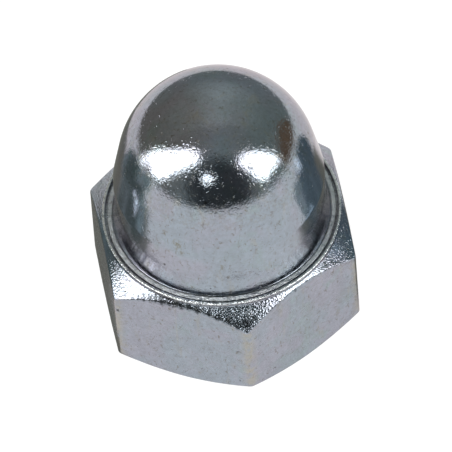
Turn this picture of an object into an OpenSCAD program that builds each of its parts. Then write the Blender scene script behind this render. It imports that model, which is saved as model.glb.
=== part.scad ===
// Cap nut: a hexagon nut closed by a domed head, cut and formed from one piece of steel.
// Sizes are in millimetres. The bearing face lies on z = 0, the axis is Z, the dome points up,
// and two of the six flats face +X and -X.

/* [Hexagon] */
// Width across two opposite flats
across_flats = 10; // [8:0.5:12]
// Height from the bearing face to the top of the collar
hexagon_height = 5; // [4:0.25:6.5]
// Radius of the six upright corner edges
corner_radius = 0.22; // [0.05:0.01:0.4]
// Slope of the turned chamfer that cuts the upper corners
chamfer_angle = 40; // [30:1:45]
// Slope of the turned chamfer round the bearing face
bearing_chamfer_angle = 30; // [20:1:40]
// How far the rim of the bearing face stands in from the flats
bearing_inset = 0.05; // [0.02:0.01:0.4]

/* [Collar] */
// How far the collar stands in from the flats
collar_inset = 0.14; // [0.05:0.01:0.3]
// Height of the collar, from where the upper chamfer's slope meets its wall
collar_height = 0.22; // [0.2:0.01:0.6]
// Radius of the hollow curve from the collar's wall into the upper chamfer
collar_fillet_radius = 0.1; // [0.05:0.01:0.15]
// Radius of the collar's rounded outer edge
collar_edge_radius = 0.05; // [0.01:0.01:0.09]
// Width of the collar's flat rim, outside the groove
rim_width = 0.115; // [0.1:0.005:0.2]

/* [Groove] */
// Width of the groove round the foot of the body
groove_width = 0.085; // [0.05:0.005:0.2]
// Depth of the groove, from the top of the collar
groove_depth = 0.16; // [0.05:0.01:0.3]

/* [Body and dome] */
// Height from the bearing face to the top of the dome
total_height = 12; // [11:0.25:14]
// How far the dome's sphere stands in from the body's wall
dome_inset = 0.2; // [0.05:0.05:0.3]
// Slope, from the upright, of the shoulder between the wall and the dome
shoulder_angle = 11; // [9:1:16]
// How far the wall spreads outwards at its foot
flare_width = 0.14; // [0.04:0.02:0.3]
// Radius of the long hollow curve by which it spreads
flare_radius = 3; // [1:0.25:4]
// Width of the flat land between the foot of the wall and the groove
land_width = 0.22; // [0.05:0.01:0.3]

/* [Threaded hole] */
// Nominal diameter of the thread
thread_diameter = 6; // [4:0.25:7]
// Pitch of the thread
thread_pitch = 1; // [0.5:0.05:1.25]
// Metal left between the drill's point and the top of the dome
crown_thickness = 2; // [1:0.25:4]
// Angle of the drill's point
drill_point_angle = 118; // [90:2:140]
// How far the mouth's countersink reaches outside the thread
mouth_margin = 0.2; // [0.05:0.05:0.5]
// Angle of the mouth's countersink
mouth_angle = 120; // [90:5:130]

/* [Hidden] */
$fn = 96;

flat_distance = across_flats / 2;
corner_distance = flat_distance / cos(30);
corner_centre = (flat_distance - corner_radius) / cos(30);

bearing_radius = flat_distance - bearing_inset;
collar_radius = flat_distance - collar_inset;
collar_base = hexagon_height - collar_height;
groove_outer_radius = collar_radius - rim_width;
groove_inner_radius = groove_outer_radius - groove_width;

// Centre of the collar's hollow curve, which touches both the wall and the chamfer
collar_fillet_centre = collar_radius + collar_fillet_radius;
collar_fillet_top = collar_base + collar_fillet_radius * tan(45 - chamfer_angle / 2);

foot_edge_radius = groove_inner_radius - land_width;
body_radius = foot_edge_radius - flare_width;
flare_height = sqrt(pow(flare_radius, 2) - pow(flare_radius - flare_width, 2));
dome_radius = body_radius - dome_inset;
dome_centre = total_height - dome_radius;
dome_rim_radius = dome_radius * cos(shoulder_angle);
dome_rim = dome_centre + dome_radius * sin(shoulder_angle);
wall_top = dome_rim - (body_radius - dome_rim_radius) / tan(shoulder_angle);

drill_radius = (thread_diameter - thread_pitch) / 2;
drill_point = drill_radius / tan(drill_point_angle / 2);
drill_depth = total_height - crown_thickness - drill_point;
mouth_radius = thread_diameter / 2 + mouth_margin;
mouth_depth = (mouth_radius - drill_radius) / tan(mouth_angle / 2);

// Cutters run this far past the faces that they cut
overrun = 0.5;

// Hexagon outline with its six corners rounded by arcs that meet the flats
module hexagon_outline() {
    arc_steps = 6;
    polygon([
        for (corner = [0 : 5])
            for (step = [0 : arc_steps])
                let (mid = 60 * corner + 30, turn = mid + 60 * (step / arc_steps - 0.5))
                [corner_centre * cos(mid) + corner_radius * cos(turn),
                 corner_centre * sin(mid) + corner_radius * sin(turn)]
    ]);
}

// Half section of the turned form that trims the hexagon: lower chamfer, upper chamfer and collar
module hexagon_turning_section() {
    reach = corner_distance + overrun;
    lower_slope = tan(bearing_chamfer_angle);
    upper_slope = tan(chamfer_angle);
    polygon([
        [0, 0],
        [bearing_radius, 0],
        [reach, (reach - bearing_radius) * lower_slope],
        [reach, collar_base - (reach - collar_radius) * upper_slope],
        [collar_radius, collar_base],
        [collar_radius, hexagon_height - collar_edge_radius],
        [0, hexagon_height - collar_edge_radius]
    ]);
    square([collar_radius - collar_edge_radius, hexagon_height]);
    translate([collar_radius - collar_edge_radius, hexagon_height - collar_edge_radius])
        circle(r = collar_edge_radius);
    difference() {
        polygon([
            [0, collar_base],
            [collar_radius, collar_base],
            [collar_fillet_centre - collar_fillet_radius * sin(chamfer_angle),
             collar_fillet_top - collar_fillet_radius * cos(chamfer_angle)],
            [collar_fillet_centre, collar_fillet_top],
            [0, collar_fillet_top]
        ]);
        translate([collar_fillet_centre, collar_fillet_top]) circle(r = collar_fillet_radius);
    }
}

module hexagon() {
    intersection() {
        linear_extrude(hexagon_height) hexagon_outline();
        rotate_extrude() hexagon_turning_section();
    }
}

// Half section of the body: its wall with the flared foot, the sloping shoulder and the dome
module body_section() {
    square([body_radius, wall_top]);
    polygon([[0, wall_top], [body_radius, wall_top], [dome_rim_radius, dome_rim], [0, dome_rim]]);
    difference() {
        square([foot_edge_radius, hexagon_height + flare_height]);
        translate([body_radius + flare_radius, hexagon_height + flare_height])
            circle(r = flare_radius);
    }
    intersection() {
        translate([0, dome_centre]) circle(r = dome_radius);
        translate([0, dome_rim]) square([dome_radius, total_height - dome_rim]);
    }
}

module body() {
    rotate_extrude() body_section();
}

module groove() {
    difference() {
        translate([0, 0, hexagon_height - groove_depth])
            cylinder(r = groove_outer_radius, h = groove_depth + overrun);
        translate([0, 0, hexagon_height - groove_depth - overrun])
            cylinder(r = groove_inner_radius, h = groove_depth + 3 * overrun);
    }
}

// Blind hole at the thread's drilled diameter, with the drill's point and the countersunk mouth
module threaded_hole() {
    translate([0, 0, -overrun])
        cylinder(r = drill_radius, h = drill_depth + overrun);
    translate([0, 0, drill_depth])
        cylinder(r1 = drill_radius, r2 = 0, h = drill_point);
    translate([0, 0, -overrun])
        cylinder(
            r1 = mouth_radius + overrun * tan(mouth_angle / 2),
            r2 = drill_radius,
            h = mouth_depth + overrun
        );
}

module cap_nut() {
    color([0.66, 0.67, 0.72])
        difference() {
            union() {
                hexagon();
                body();
            }
            groove();
            threaded_hole();
        }
}

cap_nut();
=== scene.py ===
"""The looks of a zinc-plated cap nut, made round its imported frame. Every length is in metres."""

import math

import bpy
import numpy as np
from mathutils import Matrix, Vector, noise


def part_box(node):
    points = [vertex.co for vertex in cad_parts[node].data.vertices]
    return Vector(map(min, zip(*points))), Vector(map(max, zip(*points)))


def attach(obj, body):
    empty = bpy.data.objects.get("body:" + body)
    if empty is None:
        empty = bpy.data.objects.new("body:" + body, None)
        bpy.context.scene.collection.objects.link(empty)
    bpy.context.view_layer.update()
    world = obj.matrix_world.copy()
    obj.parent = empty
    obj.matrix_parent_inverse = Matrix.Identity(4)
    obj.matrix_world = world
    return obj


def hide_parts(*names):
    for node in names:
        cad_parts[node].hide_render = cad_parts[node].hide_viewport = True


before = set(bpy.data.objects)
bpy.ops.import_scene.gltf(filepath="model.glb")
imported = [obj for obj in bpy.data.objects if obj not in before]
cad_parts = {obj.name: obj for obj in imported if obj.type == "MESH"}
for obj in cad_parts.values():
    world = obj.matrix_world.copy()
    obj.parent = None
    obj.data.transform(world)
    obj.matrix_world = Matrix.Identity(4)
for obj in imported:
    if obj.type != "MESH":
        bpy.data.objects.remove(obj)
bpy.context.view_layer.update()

MM = 0.001
MICRON = 0.000001

# The hexagon's width and the whole height come from the frame
_, node_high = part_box("cap_nut")
flat_distance = node_high.x
total_height = node_high.z

# The other sizes are those of the solid
hexagon_height = 5.0 * MM
corner_radius = 0.22 * MM
chamfer_angle = math.radians(40)
bearing_chamfer_slope = math.tan(math.radians(30))
bearing_radius = flat_distance - 0.05 * MM
collar_radius = flat_distance - 0.14 * MM
collar_base = hexagon_height - 0.22 * MM
collar_fillet = 0.1 * MM
groove_outer = collar_radius - 0.115 * MM
groove_inner = groove_outer - 0.085 * MM
groove_floor = hexagon_height - 0.16 * MM
foot_edge = groove_inner - 0.22 * MM
flare_width = 0.14 * MM
flare_radius = 3.0 * MM
flare_turn = math.acos(1 - flare_width / flare_radius)
body_radius = foot_edge - flare_width
chamfer_tangent = math.tan(math.radians(45) - chamfer_angle / 2)
collar_foot = collar_base + collar_fillet * chamfer_tangent
shoulder_angle = math.radians(11)
dome_radius = body_radius - 0.2 * MM
dome_centre = total_height - dome_radius
dome_rim_radius = dome_radius * math.cos(shoulder_angle)
dome_rim = dome_centre + dome_radius * math.sin(shoulder_angle)
wall_top = dome_rim - (body_radius - dome_rim_radius) / math.tan(shoulder_angle)
drill_radius = 2.5 * MM
drill_point_height = drill_radius / math.tan(math.radians(118 / 2))
crown_thickness = 2.0 * MM
drill_depth = total_height - crown_thickness - drill_point_height
mouth_radius = 3.2 * MM
mouth_slope = 1 / math.tan(math.radians(120 / 2))

# The thread inside is cut from the drilled wall outwards, and fades out before the drill's end.
# Its flat crest and its two flanks take up these shares of a pitch, and its flat root the rest
thread_pitch = 1.0 * MM
thread_depth = 0.54 * MM
thread_end = 7.3 * MM
thread_fade = 0.9 * MM
crest_share = 0.25
flank_share = 0.625

# Small roundings and falls that only this mesh has. The flats' upper edge is rounded most half way
# along a flat, and less towards the corners, by this power of the way there
edge_rounding = 0.35 * MM
corner_rounding = 0.10 * MM
rounding_power = 0.7
rim_fillet = 0.06 * MM
collar_fall = 0.02 * MM
land_fall = 0.06 * MM

# The most of a side that a fillet takes up, and of the chamfer that the flats' edge rounding takes up
fillet_share = 0.45
edge_share = 0.8

# How finely the surface is divided
flat_steps = 46
corner_steps = 8
fillet_steps = 5
edge_steps = 7
chamfer_steps = 14
collar_wall_steps = 3
flare_steps = 9
wall_steps = 16
shoulder_steps = 12
dome_steps = 58
thread_row_height = 0.045 * MM
drill_point_steps = 8


# Outline of the hexagon

def hexagon_outline():
    """Points round the hexagon, counter-clockwise, and how far each lies on a rounded corner."""
    points = []
    corner_share = []
    corner_centre = (flat_distance - corner_radius) / math.cos(math.radians(30))
    share_beside_corner = (0.5, 0.2)
    for corner in range(6):
        middle = math.radians(60 * corner + 30)
        centre = Vector((math.cos(middle), math.sin(middle))) * corner_centre
        for step in range(corner_steps + 1):
            turn = middle + math.radians(60) * (step / corner_steps - 0.5)
            points.append(centre + Vector((math.cos(turn), math.sin(turn))) * corner_radius)
            corner_share.append(1.0)
        start = points[-1]
        next_middle = middle + math.radians(60)
        next_centre = Vector((math.cos(next_middle), math.sin(next_middle))) * corner_centre
        next_turn = next_middle - math.radians(30)
        end = next_centre + Vector((math.cos(next_turn), math.sin(next_turn))) * corner_radius
        for step in range(1, flat_steps):
            points.append(start.lerp(end, step / flat_steps))
            beside = min(step, flat_steps - step) - 1
            near = beside < len(share_beside_corner)
            corner_share.append(share_beside_corner[beside] if near else 0.0)
    return np.array([tuple(p) for p in points]), np.array(corner_share)


# Half section, filleted, one for each point of the outline

def hollow_turn(reach):
    """How far the collar's hollow curve turns before it meets the chamfer's slope or the reach."""
    inwards = (collar_radius + collar_fillet - reach) / collar_fillet
    return np.arccos(np.clip(inwards, math.sin(chamfer_angle), 1))


def chamfer_length(reach):
    """Length of the upper chamfer from the foot of the collar's wall out to the reach."""
    tangent = collar_radius + collar_fillet * (1 - math.sin(chamfer_angle))
    straight = np.maximum(reach - tangent, 0) / math.cos(chamfer_angle)
    return collar_fillet * hollow_turn(reach) + straight


def chamfer_point(reach, distance):
    """Point of the upper chamfer at a distance down it from the foot of the collar's wall."""
    turn = np.minimum(distance / collar_fillet, hollow_turn(reach))
    beyond = np.maximum(distance - collar_fillet * hollow_turn(reach), 0)
    radius = collar_radius + collar_fillet * (1 - np.cos(turn)) + beyond * math.cos(chamfer_angle)
    height = collar_foot - collar_fillet * np.sin(turn) - beyond * math.sin(chamfer_angle)
    return np.array([radius, height])


def rounding_at(reach):
    """Rounding of the flats' upper edge: widest half way along a flat, and tight at the corners."""
    share = (reach - flat_distance) / (node_high.y - flat_distance)
    return edge_rounding + (corner_rounding - edge_rounding) * np.clip(share, 0, 1) ** rounding_power


def section_corners(reach):
    """Corners of the half section: radius, height, fillet radius, steps to the next, and finish.

    The upper edge of the flats has no fillet radius, because it has a rounding of its own.
    """
    bottom = np.maximum(reach - bearing_radius, 0) * bearing_chamfer_slope
    upper_edge = chamfer_point(reach, chamfer_length(reach))
    return [
        (mouth_radius, 0.0, 0.0, 12, "bearing"),
        (bearing_radius, 0.0, 0.03 * MM, 4, "chamfer"),
        (reach, bottom, rim_fillet, 36, "flat"),
        (reach, upper_edge[1], None, collar_wall_steps, "chamfer"),
        (collar_radius, hexagon_height - collar_fall, rim_fillet, 2, "collar"),
        (groove_outer, hexagon_height, 0.02 * MM, 3, "groove"),
        (groove_outer, groove_floor, 0.0, 2, "groove"),
        (groove_inner, groove_floor, 0.0, 3, "groove"),
        (groove_inner, hexagon_height - land_fall, 0.03 * MM, 4, "land"),
        (foot_edge, hexagon_height, 0.04 * MM, 1, "wall"),
    ]


def wall_and_head():
    """The flared foot, the wall, the shoulder and the dome, from the land to the top."""
    rows = []
    flare_top = hexagon_height + flare_radius * math.sin(flare_turn)
    for step in range(1, flare_steps + 1):
        turn = flare_turn * (1 - step / flare_steps)
        radius = body_radius + flare_radius * (1 - math.cos(turn))
        rows.append((radius, flare_top - flare_radius * math.sin(turn), "wall"))
    for step in range(1, wall_steps + 1):
        rows.append((body_radius, flare_top + (wall_top - flare_top) * step / wall_steps, "wall"))
    for step in range(1, shoulder_steps + 1):
        share = step / shoulder_steps
        radius = body_radius + (dome_rim_radius - body_radius) * share
        rows.append((radius, wall_top + (dome_rim - wall_top) * share, "wall"))
    for step in range(1, dome_steps):
        turn = shoulder_angle + (math.pi / 2 - shoulder_angle) * step / dome_steps
        radius = dome_radius * math.cos(turn)
        rows.append((radius, dome_centre + dome_radius * math.sin(turn), "dome"))
    return rows


def fillet(before, corner, after, radius, steps=fillet_steps):
    """Rows of points that round a corner, no further than half way along either side."""
    to_before = before - corner
    to_after = after - corner
    length_before = np.linalg.norm(to_before, axis=0)
    length_after = np.linalg.norm(to_after, axis=0)
    to_before = to_before / length_before
    to_after = to_after / length_after
    half_turn = np.arccos(np.clip((to_before * to_after).sum(axis=0), -1, 1)) / 2
    longest = fillet_share * np.minimum(length_before, length_after)
    reach = np.minimum(radius / np.tan(half_turn), longest)
    start = corner + to_before * reach
    end = corner + to_after * reach
    rows = []
    for step in range(steps + 1):
        share = step / steps
        pull = 2 * share * (1 - share) * np.sin(half_turn)
        total = (1 - share) ** 2 + pull + share ** 2
        rows.append((start * (1 - share) ** 2 + corner * pull + end * share ** 2) / total)
    return rows


def rounded_upper_edge(before, corner, reach):
    """Rows over the upper edge of the flats and up the chamfer to the foot of the collar's wall."""
    length = chamfer_length(reach)
    rounding = rounding_at(reach)
    used = np.minimum(rounding * chamfer_tangent, edge_share * length)
    beyond = chamfer_point(reach, length - used)

    # The fillet's side is drawn longer, so that the fillet may take up all of the used length
    side_stretch = 2.3
    past_beyond = corner + (beyond - corner) * side_stretch
    rows = fillet(before, corner, past_beyond, rounding, edge_steps)
    rows[-1] = beyond
    for step in range(1, chamfer_steps + 1):
        rows.append(chamfer_point(reach, (length - used) * (1 - step / chamfer_steps)))
    return rows


def section_rows(reach):
    """Every row of the shell as an array of radius and height, with the name of its finish."""
    count = len(reach)
    corners = []
    for radius, height, rounding, steps, finish in section_corners(reach):
        point = np.array([np.broadcast_to(radius, count), np.broadcast_to(height, count)], float)
        corners.append((point, rounding, steps, finish))
    head = wall_and_head()
    after_last = np.array([np.full(count, head[0][0]), np.full(count, head[0][1])])
    points = [corner[0] for corner in corners] + [after_last]
    arcs = []
    for index, (point, rounding, _, _) in enumerate(corners):
        if rounding is None:
            arcs.append(rounded_upper_edge(points[index - 1], point, reach))
        elif rounding > 0:
            arcs.append(fillet(points[index - 1], point, points[index + 1], rounding))
        else:
            arcs.append([point])
    rows = []
    for index, (_, rounding, steps, finish) in enumerate(corners):
        rows += [(row, finish) for row in arcs[index]]
        start = arcs[index][-1]
        target = after_last if index + 1 == len(corners) else arcs[index + 1][0]
        finish_between = "collar" if rounding is None else finish
        for step in range(1, steps):
            rows.append((start + (target - start) * step / steps, finish_between))
    for radius, height, finish in head:
        rows.append((np.array([np.full(count, radius), np.full(count, height)]), finish))
    return rows


# The threaded hole

def thread_radius(turn, height):
    """Radius of the hole's wall at an angle and a height, with the mouth's countersink."""
    phase = (height / thread_pitch - turn / (2 * math.pi)) % 1.0
    from_root = abs(phase - 0.5) * 2
    depth_share = (1 - from_root - crest_share) / flank_share
    fade = min(max((thread_end - height) / thread_fade, 0.0), 1.0)
    cut = thread_depth * min(max(depth_share, 0.0), 1.0) * fade
    cone = mouth_radius - height / mouth_slope
    return max(drill_radius + cut, cone)


def hole_rows(turns):
    """Rows of points down the hole, from just inside the mouth to the drill's point."""
    rows = []
    row_count = round(drill_depth / thread_row_height)
    for row in range(1, row_count + 1):
        height = drill_depth * row / row_count
        radii = np.array([thread_radius(turn, height) for turn in turns])
        rows.append((radii, np.full(len(turns), height)))
    for step in range(1, drill_point_steps):
        share = step / drill_point_steps
        radius = drill_radius * (1 - share)
        height = drill_depth + drill_point_height * share
        rows.append((np.full(len(turns), radius), np.full(len(turns), height)))
    return rows


# The whole mesh

# What the material reads at each point: grain, sandy grain, matte specks, roughness, turning lines,
# dirt with painted shade in the recesses, and burnished share with a painted glint
LOOKS = ("grain", "sand", "specks", "rough", "lines", "dirt_and_shade", "burnished_and_glint")

# Each finish has its looks in that order, and then the depth of its relief in microns
FINISH = {
    "bearing": (1.0, 0.5, 0.0, 0.26, 0.6, 0.15, 0.0, 0.0),
    "flat": (0.5, 0.1, 0.0, 0.22, 0.0, 0.1, 0.0, 5.0),
    "chamfer": (1.0, 4.2, 0.0, 0.09, 0.2, 0.1, 0.0, 7.0),
    "collar": (1.2, 9.0, 0.0, 0.25, 0.6, 0.0, 1.0, 3.0),
    "groove": (1.5, 3.0, 0.0, 0.30, 0.3, 0.6, 0.0, 0.0),
    "land": (1.5, 14.0, 0.0, 0.42, 0.4, 0.0, 0.6, 4.0),
    "wall": (0.35, 0.0, 0.03, 0.12, 0.35, 0.05, 0.0, 3.0),
    "dome": (0.70, 0.10, 0.22, 0.05, 0.2, 0.1, 0.0, 5.0),
    "hole": (0.6, 0.0, 0.0, 0.30, 0.0, 0.4, 0.0, 0.0),
}

# The hole has one column of points for this many of the shell's
shell_columns_per_hole_column = 3


def ring_faces(first, row_count, count, inwards=False):
    """Faces between rows of points that each run once round, outwards or inwards."""
    faces = []
    for row in range(row_count - 1):
        low = first + row * count
        high = low + count
        for column in range(count):
            right = (column + 1) % count
            face = (low + column, low + right, high + right, high + column)
            faces.append(face[::-1] if inwards else face)
    return faces


def tip_faces(last, count, tip, inwards=False):
    """Faces between the last row of points and the point that closes it."""
    faces = []
    for column in range(count):
        face = (last + column, last + (column + 1) % count, tip)
        faces.append(face[::-1] if inwards else face)
    return faces


def rim_faces(first_hole_point, hole_count, count):
    """Faces that join the shell's first row, the mouth's rim, to the hole's first row."""
    faces = []
    share = shell_columns_per_hole_column
    for column in range(hole_count):
        rim = [(share * column + step) % count for step in range(share + 1)]
        right = (column + 1) % hole_count
        faces.append((first_hole_point + column, first_hole_point + right) + tuple(reversed(rim)))
    return faces


def nut_mesh():
    """One closed mesh of the nut, with the finish of each of its points."""
    outline, corner_share = hexagon_outline()
    turns = np.arctan2(outline[:, 1], outline[:, 0])
    reach = np.hypot(outline[:, 0], outline[:, 1])
    count = len(turns)
    rows = section_rows(reach)

    points = []
    finishes = []
    worn = []
    for (radius, height), finish in rows:
        points += list(zip(radius * np.cos(turns), radius * np.sin(turns), height))
        finishes += [finish] * count
        worn += list(corner_share * (finish == "flat"))
    top = len(points)
    points.append((0, 0, total_height))
    finishes.append("dome")
    faces = ring_faces(0, len(rows), count) + tip_faces(top - count, count, top)

    hole_turns = turns[::shell_columns_per_hole_column]
    hole_count = len(hole_turns)
    first_hole_point = len(points)
    inner = hole_rows(hole_turns)
    for radii, heights in inner:
        points += list(zip(radii * np.cos(hole_turns), radii * np.sin(hole_turns), heights))
    apex = len(points)
    points.append((0, 0, drill_depth + drill_point_height))
    faces += rim_faces(first_hole_point, hole_count, count)
    faces += ring_faces(first_hole_point, len(inner), hole_count, inwards=True)
    faces += tip_faces(apex - hole_count, hole_count, apex, inwards=True)
    finishes += ["hole"] * (len(points) - len(finishes))
    worn += [0.0] * (len(points) - len(worn))

    mesh = bpy.data.meshes.new("cap_nut_body")
    mesh.from_pydata(points, [], faces)
    mesh.update()
    for index, name in enumerate(LOOKS):
        set_attribute(mesh, name, [FINISH[finish][index] for finish in finishes])
    set_attribute(mesh, "worn", worn)
    press_relief(mesh, [FINISH[finish][-1] * MICRON for finish in finishes])
    return mesh


def set_attribute(mesh, name, values):
    """Gives each point of the mesh a number that its material reads."""
    attribute = mesh.attributes.new(name, "FLOAT", "POINT")
    attribute.data.foreach_set("value", np.array(values, np.float32))


# The relief is made of lumps and grains, each a noise by the millimetre
lump_scale = 1.9
lump_share = 0.55
grain_scale = 4.6
grain_share = 0.45
grain_shift = Vector((7, 3, 1))


def press_relief(mesh, depths):
    """Presses shallow hollows into the surface, so that nothing rises above the solid's own."""
    moved = []
    for vertex, depth in zip(mesh.vertices, depths):
        if depth > 0:
            place = vertex.co / MM
            lumps = 0.5 + 0.5 * noise.noise(place * lump_scale)
            grains = 0.5 + 0.5 * noise.noise(place * grain_scale + grain_shift)
            press = depth * (lump_share * lumps + grain_share * grains)
            moved.append(vertex.co - vertex.normal * press)
        else:
            moved.append(vertex.co.copy())
    mesh.vertices.foreach_set("co", np.array([tuple(co) for co in moved], np.float32).ravel())
    mesh.update()


def build_nut():
    """The dressed nut, which is shaded smooth but for its sharper edges."""
    sharp_angle = math.radians(40)
    mesh = nut_mesh()
    mesh.polygons.foreach_set("use_smooth", [True] * len(mesh.polygons))
    mesh.set_sharp_from_angle(angle=sharp_angle)
    nut = bpy.data.objects.new("cap_nut_dressed", mesh)
    bpy.context.scene.collection.objects.link(nut)
    return nut


# Stains, and a dark band along an edge, placed where the photograph shows them. Each has its pixel
# across and down, its half width in mm, its length over its width, and its strength

TAN_STAINS = [
    (177, 245, 0.16, 1.6, 0.9), (181, 252, 0.12, 1.2, 0.8), (168, 250, 0.10, 1.0, 0.6),
    (245, 209, 0.08, 2.6, 1.0), (222, 267, 0.09, 2.2, 0.8), (219, 272, 0.07, 1.5, 0.7),
    (283, 218, 0.07, 1.4, 0.6), (165, 232, 0.09, 1.3, 0.5), (233, 329, 0.07, 2.8, 0.8),
    (338, 312, 0.12, 2.6, 0.5), (278, 307, 0.09, 2.0, 0.5), (200, 372, 0.10, 1.0, 0.4),
    (126, 320, 0.10, 2.0, 0.4), (342, 296, 0.30, 1.4, 0.25), (256, 250, 0.06, 1.5, 0.4),
    (196, 262, 0.06, 1.8, 0.4), (300, 330, 0.08, 2.0, 0.35),
]
DARK_SPOTS = [
    (164, 264, 0.05, 1.0, 1.0), (250, 167, 0.10, 1.6, 0.8), (206, 203, 0.08, 1.3, 0.7),
    (185, 372, 0.05, 1.2, 0.8), (202, 369, 0.05, 1.0, 0.7), (240, 380, 0.06, 1.0, 0.8),
    (275, 368, 0.05, 1.2, 0.7), (119, 311, 0.06, 1.4, 0.8), (296, 289, 0.06, 1.5, 0.8),
    (248, 324, 0.12, 1.0, 0.7), (261, 345, 0.04, 1.0, 0.6), (214, 340, 0.04, 1.0, 0.6),
    (151, 342, 0.04, 1.5, 0.6), (323, 318, 0.04, 1.2, 0.6), (292, 345, 0.04, 1.0, 0.5),
    (238, 352, 0.05, 1.4, 0.6),
]

# A dark ragged band along the upper edge of the front left flat and at the front corner's tip
DARK_EDGE = [
    (126, 296, 0.07, 1.0, 0.8), (132, 297, 0.08, 1.0, 0.9), (138, 297, 0.11, 1.0, 1.0),
    (144, 297, 0.15, 1.0, 1.0), (150, 297, 0.19, 1.0, 1.0), (156, 298, 0.21, 1.0, 1.0),
    (162, 300, 0.22, 1.0, 1.0), (168, 301, 0.22, 1.0, 1.0), (174, 303, 0.21, 1.0, 1.0),
    (180, 305, 0.20, 1.0, 1.0), (189, 307, 0.17, 1.0, 1.0), (198, 310, 0.17, 1.0, 1.0),
    (208, 313, 0.16, 1.0, 0.9), (218, 317, 0.16, 1.0, 0.9), (228, 321, 0.17, 1.0, 0.9),
    (238, 325, 0.18, 1.0, 0.9), (247, 324, 0.24, 1.0, 0.9), (254, 318, 0.14, 1.0, 0.7),
]

# Places where the chamfer is sandiest
SANDY_PLACES = [(232, 314, 1.5, 1.0, 0.55), (346, 238, 1.2, 1.0, 0.55)]


def towards_pixel(across, down):
    """The way from the camera through a pixel of the photograph."""
    camera = bpy.context.scene.camera
    pixels_per_unit = pixels_per_metre * camera_distance
    offset = Vector((across - image_size / 2, image_size / 2 - down, -pixels_per_unit))
    return (camera.matrix_world.to_3x3() @ offset).normalized()


def photo_point(nut, across, down):
    """The point of the nut that the camera sees at a pixel of the photograph, in mm."""
    hit, place, _, _ = nut.ray_cast(bpy.context.scene.camera.location, towards_pixel(across, down))
    return place / MM if hit else None


# Node helpers

class Tree:
    """Adds shader nodes to one tree and links them, from left to right."""

    def __init__(self, tree):
        self.tree = tree
        self.tree.nodes.clear()

    def add(self, kind, **sockets):
        """A node with some of its inputs set; an underscore stands for a space in an input's name."""
        node = self.tree.nodes.new(kind)
        for name, value in sockets.items():
            self.set(node, name.replace("_", " "), value)
        return node

    def set(self, node, name, value):
        """Sets or links one input, by its name or number."""
        socket = node.inputs[name]
        if isinstance(value, bpy.types.NodeSocket):
            self.tree.links.new(value, socket)
        elif isinstance(value, bpy.types.Node):
            self.tree.links.new(value.outputs[0], socket)
        else:
            socket.default_value = value

    def math(self, operation, first, second=0.0, clamp=False):
        """A number made from one or two others."""
        node = self.tree.nodes.new("ShaderNodeMath")
        node.operation = operation
        node.use_clamp = clamp
        self.set(node, 0, first)
        self.set(node, 1, second)
        return node.outputs[0]

    def vector(self, operation, *inputs):
        """A vector operation: a length and a dot product are numbers, the rest are vectors."""
        node = self.tree.nodes.new("ShaderNodeVectorMath")
        node.operation = operation
        for index, value in enumerate(inputs):
            self.set(node, index, value)
        is_number = operation in ("LENGTH", "DOT_PRODUCT")
        return node.outputs["Value" if is_number else "Vector"]

    def ramp(self, value, low, high):
        """A smooth step from 0 at low to 1 at high."""
        node = self.tree.nodes.new("ShaderNodeMapRange")
        node.interpolation_type = "SMOOTHSTEP"
        self.set(node, "Value", value)
        self.set(node, "From Min", low)
        self.set(node, "From Max", high)
        return node.outputs[0]

    def mix(self, share, first, second):
        """A share of the second colour over the first; a colour has three numbers."""
        node = self.tree.nodes.new("ShaderNodeMix")
        node.data_type = "RGBA"
        self.set(node, 0, share)
        for index, colour in ((6, first), (7, second)):
            self.set(node, index, (*colour, 1) if isinstance(colour, tuple) else colour)
        return node.outputs[2]

    def seen_by(self, *kinds):
        """1 for rays of any of these kinds, such as Camera or Glossy, and 0 for the rest."""
        path = self.add("ShaderNodeLightPath")
        total = 0.0
        for kind in kinds:
            total = self.math("ADD", path.outputs[f"Is {kind} Ray"], total, clamp=True)
        return total


# Zinc plate

class PlateTree(Tree):
    """The plate's shader nodes, with the place in mm and the looks of each point of the nut."""

    def __init__(self, tree):
        super().__init__(tree)
        position = self.add("ShaderNodeTexCoord").outputs["Object"]
        self.place = self.vector("MULTIPLY", position, (1 / MM, 1 / MM, 1 / MM))
        self.looks = {}
        for name in LOOKS + ("worn",):
            attribute = self.add("ShaderNodeAttribute")
            attribute.attribute_name = name
            self.looks[name] = attribute.outputs["Fac"]

    def noise(self, scale, detail=2.0, roughness=0.5, distortion=0.0, upright=1.0, shift=0.0):
        """Noise by the millimetre; upright under 1 draws it out along the axis."""
        mapping = self.add("ShaderNodeMapping", Vector=self.place, Scale=(1, 1, upright),
                           Location=(shift, shift, shift))
        node = self.add("ShaderNodeTexNoise", Vector=mapping, Scale=scale, Detail=detail,
                        Roughness=roughness, Distortion=distortion)
        return node.outputs["Fac"]

    def patches(self, share, low, high, *settings, **named):
        """A share that comes and goes with a noise, between two of its levels."""
        return self.math("MULTIPLY", self.ramp(self.noise(*settings, **named), low, high), share)

    def spots(self, nut, place, spots):
        """Strength of a list of spots at each place: drawn out upright, and soft at the rim."""
        rim_start = 1.5
        rim_end = 0.4
        mask = 0.0
        for across, down, half_width, stretch, strength in spots:
            centre = photo_point(nut, across, down)
            if centre is None:
                continue
            away = self.vector("SUBTRACT", place, tuple(centre))
            length = self.vector("LENGTH", self.vector("MULTIPLY", away, (1.0, 1.0, 1.0 / stretch)))
            spot = self.ramp(length, half_width * rim_start, half_width * rim_end)
            mask = self.math("MAXIMUM", self.math("MULTIPLY", spot, strength), mask)
        return mask


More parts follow.
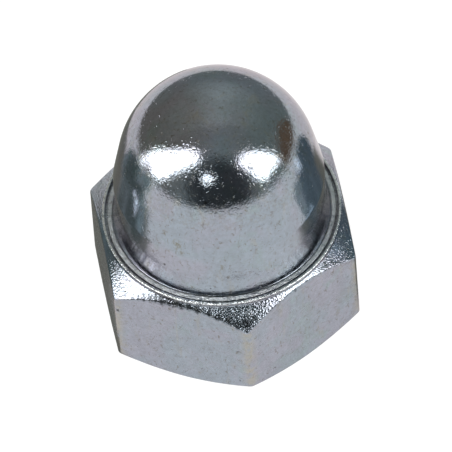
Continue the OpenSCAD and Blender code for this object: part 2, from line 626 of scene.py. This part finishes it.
# Colours that lie over the plate's blue one after the other, each with its greatest share and the
# noise that places it: low and high level, scale, detail, roughness, distortion, upright and shift
PLATE_BLUE = (0.375, 0.425, 0.485)
PLATE_LAYERS = {
    "lavender": ((0.400, 0.412, 0.480), 1.0, 0.40, 0.62, 0.42, 4.0, 0.6, 0.8, 1.0, 0.0),
    "teal": ((0.345, 0.420, 0.440), 0.8, 0.52, 0.70, 0.55, 4.0, 0.65, 1.0, 1.0, 11.0),
    "warm drips": ((0.425, 0.420, 0.390), 0.6, 0.56, 0.74, 1.6, 4.0, 0.6, 0.6, 0.3, 23.0),
    "mottle": ((0.16, 0.17, 0.17), 0.20, 0.30, 0.75, 5.5, 4.0, 0.7, 0.3, 1.0, 31.0),
    "clouds": ((0.22, 0.23, 0.25), 0.20, 0.35, 0.70, 1.1, 4.0, 0.65, 1.2, 0.6, 37.0),
    "flecks": ((0.17, 0.15, 0.11), 0.60, 0.57, 0.66, 6.5, 4.0, 0.75, 0.8, 0.6, 43.0),
}

# Colours of the looks that the mesh gives each point: the rings are burnished, partly a painted glint,
# corners are worn yellowish, and recesses hold brown dirt, partly painted shade. Share and noise are as
# above
WEAR_LAYERS = {
    # The pale burnished colour also paints a glint on the collar and the land
    "burnished_and_glint": ((0.84, 0.87, 0.88), 1.0, 0.25, 0.55, 5.0, 3.0, 0.6, 0.0, 1.0, 29.0),
    "worn": ((0.44, 0.41, 0.335), 0.6, 0.30, 0.60, 3.0, 3.0, 0.6, 0.0, 1.0, 41.0),
    # Dark brown dirt, thickest in the groove and the hole, where it also paints their shade
    "dirt_and_shade": ((0.085, 0.075, 0.06), 1.0, 0.35, 0.70, 7.0, 3.0, 0.6, 0.0, 1.0, 53.0),
}

# The same for the stains and the dark edge band, each from its own list of spots; the dark spots have no
# noise
STAIN_LAYERS = {
    "tan": (TAN_STAINS, (0.22, 0.20, 0.13), 0.75, 0.40, 0.56, 9.0, 3.0, 0.7, 0.0, 1.0, 113.0),
    "dark": (DARK_SPOTS, (0.03, 0.03, 0.03), 1.0),
    "edge": (DARK_EDGE, (0.020, 0.025, 0.026), 0.93, 0.32, 0.50, 18.0, 2.0, 0.6, 0.0, 1.0, 107.0),
}


def ragged_place(tree):
    """The place in mm, shifted about by up to the reach."""
    reach = 0.20
    wander = tree.add("ShaderNodeTexNoise", Vector=tree.place, Scale=6.0, Detail=3.0)
    shifted = tree.vector("MULTIPLY_ADD", wander.outputs["Color"], (2 * reach,) * 3, tree.place)
    return tree.vector("SUBTRACT", shifted, (reach,) * 3)


def plate_colour(tree, nut, ragged):
    """Colour of the plate with its wear and stains, a painted glint on the rings and painted shade in
    the recesses, and how much dulls it.
    """
    tint = PLATE_BLUE
    dulled = 0.0
    for colour, *patches in PLATE_LAYERS.values():
        tint = tree.mix(tree.patches(*patches), tint, colour)
    for name, (colour, *patches) in WEAR_LAYERS.items():
        mask = tree.math("MULTIPLY", tree.looks[name], tree.patches(*patches))
        tint = tree.mix(mask, tint, colour)
        if name == "dirt_and_shade":
            dulled = tree.math("MAXIMUM", mask, dulled)
    for name, (spots, colour, share, *patches) in STAIN_LAYERS.items():
        mask = tree.spots(nut, ragged, spots)
        if patches:
            mask = tree.math("MULTIPLY", mask, tree.patches(1.0, *patches))
        tint = tree.mix(tree.math("MULTIPLY", mask, share), tint, colour)
        if name == "tan":
            dulled = tree.math("MAXIMUM", mask, dulled)
    return tint, dulled


def turning_lines(tree):
    """Fine ridges round the axis, as a lathe leaves them."""
    parts = tree.add("ShaderNodeSeparateXYZ", Vector=tree.place)
    radius = tree.vector("LENGTH", tree.vector("MULTIPLY", tree.place, (1, 1, 0)))
    across_lines = tree.add("ShaderNodeCombineXYZ", X=radius, Y=parts.outputs["Z"])
    ridges = tree.add("ShaderNodeTexNoise", Vector=across_lines, Scale=11.0, Detail=3.0, Roughness=0.7)
    share = tree.math("MULTIPLY", tree.looks["lines"], 0.8)
    return tree.math("MULTIPLY", ridges.outputs["Fac"], share)


def pits_and_dimples(tree, ragged):
    """A few small pits with ragged rims, and many shallow round dimples."""
    cells = tree.add("ShaderNodeTexVoronoi", Vector=ragged, Scale=2.4)
    pit_here = tree.ramp(tree.noise(1.1, 2.0, shift=61), 0.5, 0.6)
    pits = tree.math("MULTIPLY", tree.ramp(cells.outputs["Distance"], 0.14, 0.05), pit_here)
    dots = tree.add("ShaderNodeTexVoronoi", Vector=tree.place, Scale=8.0)
    dimple_here = tree.ramp(tree.noise(3.0, 3.0, 0.7, shift=83), 0.42, 0.62)
    dimples = tree.math("MULTIPLY", tree.ramp(dots.outputs["Distance"], 0.42, 0.1), dimple_here)
    pits = tree.math("MULTIPLY", pits, 1.2)
    dimples = tree.math("MULTIPLY", dimples, 0.55)
    return tree.math("ADD", pits, dimples)


def frontness(tree):
    """From 0 on the nut's back to 1 on the side that the photograph shows, with a drifting edge."""
    front = tree.vector("DOT_PRODUCT", tree.place, tuple(direction(0, 0)))
    return tree.ramp(tree.math("ADD", front, tree.noise(0.9, 2.0, shift=47)), -0.5, 1.5)


def surface_height(tree, nut, front, ragged):
    """Height of the surface for its bump: grain, sand, turning lines, pits and dimples."""
    grain = tree.math("ADD", tree.noise(8.0, 3.0, 0.65),
                      tree.math("MULTIPLY", tree.noise(19.0, 2.0, 0.6, shift=5), 0.3))
    grain = tree.math("MULTIPLY", grain, tree.looks["grain"])
    grain = tree.math("MULTIPLY", grain, tree.math("ADD", front, 0.5))
    sand = tree.math("MULTIPLY", tree.noise(14.0, 1.0, 0.5, shift=17), tree.looks["sand"])
    sandy_here = tree.math("ADD", 0.45, tree.spots(nut, tree.place, SANDY_PLACES))
    sand = tree.math("MULTIPLY", sand, sandy_here)
    raised = tree.math("ADD", tree.math("ADD", grain, sand), turning_lines(tree))
    return tree.math("SUBTRACT", raised, pits_and_dimples(tree, ragged))


def zinc_material(nut):
    """Zinc plate: a rough metal whose colour, bump and roughness follow the place and the looks."""
    material = bpy.data.materials.new("zinc_plate")
    material.use_nodes = True
    tree = PlateTree(material.node_tree)
    ragged = ragged_place(tree)
    front = frontness(tree)
    tint, dulled = plate_colour(tree, nut, ragged)

    # Matte specks, mostly on the side that the photograph shows
    specks = tree.ramp(tree.noise(5.5, 4.0, 0.7, 0.3, shift=97), 0.47, 0.72)
    specks = tree.math("MULTIPLY", specks, front)
    specks = tree.math("MULTIPLY", specks, tree.looks["specks"])
    tint = tree.mix(tree.math("MULTIPLY", specks, 2.0, clamp=True), tint, (0.30, 0.29, 0.25))

    # Roughness drifts a little, and dirt, tan stains and specks add to it
    uneven = tree.math("ADD", 0.75, tree.patches(0.6, 0.3, 0.75, 2.6, 4.0, 0.65, 0.4, shift=71))
    rough = tree.math("MULTIPLY", tree.looks["rough"], uneven)
    rough = tree.math("ADD", rough, tree.math("MULTIPLY", dulled, 0.2))
    rough = tree.math("ADD", rough, specks)

    bump_height = 7 * MICRON
    height = surface_height(tree, nut, front, ragged)
    bump = tree.add("ShaderNodeBump", Strength=1.0, Distance=bump_height, Height=height)
    shader = tree.add("ShaderNodeBsdfPrincipled", Base_Color=tint, Metallic=1.0, Roughness=rough,
                      Specular_Tint=(0.92, 0.84, 0.84, 1), Normal=bump)
    tree.add("ShaderNodeOutputMaterial", Surface=shader)
    return material


# Camera, fitted to the photograph

camera_azimuth = math.radians(6.525)
camera_elevation = math.radians(52.084)
camera_roll = math.radians(4.598)
camera_distance = 0.8
pixels_per_metre = 24486
image_size = 452
view_right_of_origin = -0.064 * MM
view_above_origin = 2.378 * MM


def direction(azimuth, elevation):
    """A direction from the nut: azimuth 0 points towards the camera and grows to its right."""
    turn = math.radians(azimuth)
    rise = math.radians(elevation)
    to_camera = Vector((-math.sin(camera_azimuth), -math.cos(camera_azimuth), 0))
    to_right = Vector((math.cos(camera_azimuth), -math.sin(camera_azimuth), 0))
    flat = to_camera * math.cos(turn) + to_right * math.sin(turn)
    return flat * math.cos(rise) + Vector((0, 0, 1)) * math.sin(rise)


def add_camera():
    """The camera from which the photograph is matched."""
    back = direction(0, math.degrees(camera_elevation))
    right = direction(90, 0)
    up = back.cross(right)
    x_axis = right * math.cos(camera_roll) - up * math.sin(camera_roll)
    y_axis = right * math.sin(camera_roll) + up * math.cos(camera_roll)
    data = bpy.data.cameras.new("camera")
    data.lens = pixels_per_metre * camera_distance * data.sensor_width / image_size
    data.clip_start = 0.01
    data.clip_end = 10
    camera = bpy.data.objects.new("camera", data)
    bpy.context.scene.collection.objects.link(camera)
    camera.matrix_world = Matrix((x_axis, y_axis, back)).transposed().to_4x4()
    camera.location = x_axis * view_right_of_origin + y_axis * view_above_origin + back * camera_distance
    bpy.context.scene.camera = camera


# Stage and light

# The lights stand this far from the nut, in metres
light_distance = 0.5


def add_softbox(name, start, end, width, radiance, distance=light_distance):
    """A plain area light whose long side runs between two directions; width is in degrees."""
    first = direction(*start)
    second = direction(*end)
    outwards = (first + second).normalized()
    along = second - first
    along = (along - outwards * along.dot(outwards)).normalized()
    across = along.cross(outwards)
    data = bpy.data.lights.new(name, "AREA")
    data.shape = "RECTANGLE"
    data.size = 2 * distance * math.tan(math.radians(width) / 2)
    data.size_y = 2 * distance * math.tan(first.angle(second) / 2)
    data.energy = radiance * math.pi * data.size * data.size_y
    light = bpy.data.objects.new(name, data)
    bpy.context.scene.collection.objects.link(light)
    light.matrix_world = Matrix((across, along, outwards)).transposed().to_4x4()
    light.location = outwards * distance


def glow_material(name, colour_of):
    """A material that only glows; colour_of makes its colour from the tree."""
    material = bpy.data.materials.new(name)
    material.use_nodes = True
    tree = Tree(material.node_tree)
    glow = tree.add("ShaderNodeEmission", Color=colour_of(tree), Strength=1.0)
    tree.add("ShaderNodeOutputMaterial", Surface=glow)
    return material


def first_crossing(start, way, radius):
    """How far along its way a line first meets a circle or sphere round the origin, or None."""
    half = start.dot(way)
    square = way.length_squared
    inside_root = half * half - square * (start.length_squared - radius * radius)
    return (-half - math.sqrt(inside_root)) / square if inside_root >= 0 else None


def mirror_ray(across, down):
    """Where a pixel of the photograph meets the smooth body, and the way it is mirrored from there."""
    start = bpy.context.scene.camera.location
    way = towards_pixel(across, down)
    centre = Vector((0, 0, dome_centre))
    length = first_crossing(start - centre, way, dome_radius)
    if length is not None and (start + way * length).z >= dome_rim:
        place = start + way * length
        return place, way.reflect((place - centre).normalized())
    place = start + way * first_crossing(start.to_2d(), way.to_2d(), body_radius)
    return place, way.reflect(Vector((place.x, place.y, 0)).normalized())


# Outlines of the two lights' mirror images, as pixels across and down the photograph
LEFT_LIGHT = [
    (148, 154), (159, 151), (171, 152), (185, 151), (196, 152), (199, 157), (196, 163), (186, 167),
    (173, 173), (166, 177), (158, 178), (154, 175), (151, 168),
]
RIGHT_LIGHT = [
    (241, 158), (250, 153), (263, 153), (274, 156), (279, 161), (274, 166), (269, 171), (266, 180),
    (260, 179), (255, 174), (246, 167), (240, 163),
]
LEFT_SPOT = [(142, 157), (145, 155), (147, 160), (145, 165), (142, 163)]

# A brown sheet at the right edge of the room
BROWN_SHEET = [
    (277, 125), (287, 118), (295, 133), (296, 150), (289, 167), (280, 160), (279, 147), (278, 135),
]

# Small gleams beside the nut: outline, colour and radiance
SMALL_GLEAMS = {
    "pale_left": (
        [(141, 166), (151, 180), (150, 191), (147, 190), (135, 180)], (0.85, 1.0, 1.05), 0.36),
    "dot_left": ([(133, 190), (135, 191), (138, 202), (136, 202)], (0.9, 1.0, 1.1), 2.0),
    "pale_right": (
        [(294, 182), (301, 184), (303, 192), (299, 201), (294, 196)], (0.85, 1.0, 1.05), 0.42),
    "dot_right": ([(294, 160), (298, 158), (301, 170), (298, 173)], (0.9, 1.0, 1.1), 1.6),
    "streak_right": ([(306, 190), (308, 192), (303, 208), (300, 209)], (0.75, 0.95, 1.1), 0.9),
}
gleam_distance = 4 * MM


def add_mirrored_shape(name, outline, colour, radiance, distance=light_distance, lights=True):
    """A glowing sheet whose mirror image on the body has the given outline in the photograph.

    Where it lights, it also lights matte surfaces.
    """
    points = []
    for across, down in outline:
        place, way = mirror_ray(across, down)
        points.append(tuple(place + way * distance))
    mesh = bpy.data.meshes.new(name)
    mesh.from_pydata(points, [], [tuple(range(len(points)))])
    glow = (*(part * radiance for part in colour), 1)
    mesh.materials.append(glow_material(name, lambda tree: glow))
    sheet = bpy.data.objects.new(name, mesh)
    bpy.context.scene.collection.objects.link(sheet)
    seen_in_mirrors_only(sheet)
    sheet.visible_diffuse = lights


def seen_in_mirrors_only(stage_object):
    """Hides an object of the stage from all but mirrors."""
    stage_object.visible_camera = False
    stage_object.visible_diffuse = False
    stage_object.visible_transmission = False
    stage_object.visible_shadow = False


# Dark posts with round tops beside the nut: azimuth, then distance, radius and height in mm, and the
# two colours of the streaks
POSTS = {
    "flag_left": (-94, 12.3, 4.4, 9.2, (0.11, 0.145, 0.14), (0.32, 0.40, 0.42)),
    "flag_right": (96, 12.0, 3.8, 9.0, (0.12, 0.165, 0.19), (0.30, 0.38, 0.44)),
}


def add_post(name, azimuth, distance, radius, height, dark, pale):
    """A streaky post with a round top, seen in mirrors only; lengths are in metres."""
    steps = 48
    degrees_per_ring = 10
    centre = direction(azimuth, 0) * distance
    rings = [(radius, 0.0)]
    for rise in range(0, 90, degrees_per_ring):
        turn = math.radians(rise)
        rings.append((radius * math.cos(turn), height - radius + radius * math.sin(turn)))
    points = []
    for ring_radius, level in rings:
        for step in range(steps):
            turn = 2 * math.pi * step / steps
            x = centre.x + ring_radius * math.cos(turn)
            y = centre.y + ring_radius * math.sin(turn)
            points.append((x, y, level))
    faces = ring_faces(0, len(rings), steps)
    faces.append(tuple(range(len(points) - steps, len(points))))
    mesh = bpy.data.meshes.new(name)
    mesh.from_pydata(points, [], faces)

    def streaks(tree):
        position = tree.add("ShaderNodeTexCoord").outputs["Object"]
        mapping = tree.add("ShaderNodeMapping", Vector=position, Scale=(1, 1, 0.12))
        bands = tree.add("ShaderNodeTexNoise", Vector=mapping, Scale=480.0, Detail=3.0, Distortion=0.4)
        return tree.mix(tree.ramp(bands.outputs["Fac"], 0.50, 0.68), dark, pale)

    mesh.materials.append(glow_material(name, streaks))
    post = bpy.data.objects.new(name, mesh)
    bpy.context.scene.collection.objects.link(post)
    seen_in_mirrors_only(post)


# Shadows painted on the floor beside the nut, which only its mirror image shows. Each has its pairs of
# parallel edges, as an azimuth with two distances from the nut's axis in mm, and the width of its soft
# edge
PAINTED_FLOOR_SHADOWS = [
    ([(-83, 0, 6), (-173, -2.85, 16)], 0.4),
    ([(-83, 5.8, 16), (-173, -2.85, 16), (-123, 5.7, 30)], 0.4),
    ([(112, 5.8, 13), (202, -4.0, 2.5)], 1.6),
    ([(112, 7.2, 13), (202, -6.0, 2.5)], 0.9),
]
# Colour of the shadows painted on the floor
PAINTED_SHADOW_COLOUR = (0.075, 0.09, 0.06)

# The floor's matte grey, its glow, and what the camera sees of it beside that
floor_grey = 0.22
floor_glow = 0.80
camera_glow = 0.12


def floor_shade(tree):
    """Where shadows are painted on the floor beside the nut, which only mirrors show."""
    position = tree.add("ShaderNodeTexCoord").outputs["Object"]
    shade = 0.0
    for edges, soft in PAINTED_FLOOR_SHADOWS:
        shadow_patch = 1.0
        for azimuth, near, far in edges:
            away = tree.vector("DOT_PRODUCT", position, tuple(direction(azimuth, 0) / MM))
            beyond_near = tree.ramp(away, near - soft, near)
            before_far = tree.ramp(away, far + soft, far)
            shadow_patch = tree.math("MULTIPLY", tree.math("MULTIPLY", beyond_near, before_far), shadow_patch)
        shade = tree.math("MAXIMUM", shadow_patch, shade)
    return tree.math("MULTIPLY", shade, tree.seen_by("Glossy"))


def floor_material():
    """Matte white that glows where it is seen directly, so that it shows white without lighting; mirrors
    also show the shadows painted on it beside the nut.
    """
    material = bpy.data.materials.new("floor_white")
    material.use_nodes = True
    tree = Tree(material.node_tree)
    matte = tree.add("ShaderNodeBsdfDiffuse", Color=(floor_grey, floor_grey, floor_grey, 1))
    colour = tree.mix(floor_shade(tree), (1, 1, 1), PAINTED_SHADOW_COLOUR)
    strength = tree.math("MULTIPLY", tree.seen_by("Camera", "Glossy", "Transmission"), floor_glow)
    strength = tree.math("ADD", strength, tree.math("MULTIPLY", tree.seen_by("Camera"), camera_glow))
    glow = tree.add("ShaderNodeEmission", Color=colour, Strength=strength)
    both = tree.add("ShaderNodeAddShader")
    tree.set(both, 0, matte)
    tree.set(both, 1, glow)
    tree.add("ShaderNodeOutputMaterial", Surface=both)
    return material


def add_floor():
    """A white floor a hair below the nut, which ends a little way behind it, where the room begins."""
    reach = 1.5
    behind = 0.065
    below = Vector((0, 0, -0.02 * MM))
    left = direction(-90, 0) * reach + below
    right = direction(90, 0) * reach + below
    front = direction(0, 0) * reach
    back = direction(180, 0) * behind
    outline = [left + front, right + front, right + back, left + back]
    mesh = bpy.data.meshes.new("floor")
    mesh.from_pydata([tuple(corner) for corner in outline], [], [(0, 1, 2, 3)])
    mesh.materials.append(floor_material())
    floor = bpy.data.objects.new("floor", mesh)
    bpy.context.scene.collection.objects.link(floor)


# The room's own grey, and how far a noise moves the edges of what lies over it
ROOM_GREY = (0.25, 0.28, 0.28)
room_drift = 0.22

# What the room is like towards some directions, one over the other: colour, azimuth and elevation,
# how uneven its edge is, the cosines from the direction where it starts and is full, and its share
ROOM_LAYERS = {
    "ceiling behind": ((0.49, 0.52, 0.50), 180, 62, 0.0, 0.55, 0.98, 1.0),
    "front": ((0.285, 0.315, 0.315), 0, 0, 1.0, -0.20, -0.05, 1.0),
    "brown left": ((0.22, 0.20, 0.165), -110, 25, 1.0, 0.3, 0.9, 0.75),
    "green right": ((0.20, 0.24, 0.21), 100, 35, 1.0, 0.5, 0.95, 0.6),
    "dark low front": ((0.055, 0.063, 0.066), 0, 22, 0.6, 0.70, 0.90, 1.0),
}


def set_world():
    """A grey room, darkest low down in front of the nut, and white where the camera sees it."""
    world = bpy.data.worlds.new("room")
    bpy.context.scene.world = world
    world.use_nodes = True
    tree = Tree(world.node_tree)
    towards = tree.add("ShaderNodeTexCoord").outputs["Generated"]
    drift = tree.add("ShaderNodeTexNoise", Vector=towards, Scale=2.2, Detail=4.0, Roughness=0.6,
                     Distortion=0.5)
    drift = tree.math("MULTIPLY", tree.math("SUBTRACT", drift.outputs["Fac"], 0.5), room_drift)

    room = ROOM_GREY
    for colour, azimuth, elevation, uneven, start, full, share in ROOM_LAYERS.values():
        along = tree.vector("DOT_PRODUCT", towards, tuple(direction(azimuth, elevation)))
        along = tree.math("ADD", along, tree.math("MULTIPLY", drift, uneven))
        mask = tree.math("MULTIPLY", tree.ramp(along, start, full), share)
        room = tree.mix(mask, room, colour)
    colour = tree.mix(tree.seen_by("Camera"), room, (1, 1, 1))
    background = tree.add("ShaderNodeBackground", Color=colour, Strength=1.0)
    tree.add("ShaderNodeOutputWorld", Surface=background)


add_camera()
nut = build_nut()
nut.data.materials.append(zinc_material(nut))
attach(nut, "root")
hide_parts("cap_nut")

add_floor()
set_world()
for name, (azimuth, distance, radius, height, dark, pale) in POSTS.items():
    add_post(name, azimuth, distance * MM, radius * MM, height * MM, dark, pale)
add_mirrored_shape("light_left", LEFT_LIGHT, (1, 1, 1), radiance=6.0)
add_mirrored_shape("light_right", RIGHT_LIGHT, (1, 1, 1), radiance=6.0)
add_mirrored_shape("spot_left", LEFT_SPOT, (1, 1, 1), radiance=5.0)
add_mirrored_shape("brown_sheet", BROWN_SHEET, (0.185, 0.125, 0.085), radiance=1.0)
for name, (outline, colour, radiance) in SMALL_GLEAMS.items():
    add_mirrored_shape(name, outline, colour, radiance, gleam_distance, lights=False)
add_softbox("small_light", start=(-22, 36.5), end=(-11, 36.5), width=3, radiance=16.0)
bpy.context.scene.view_settings.view_transform = "Standard"
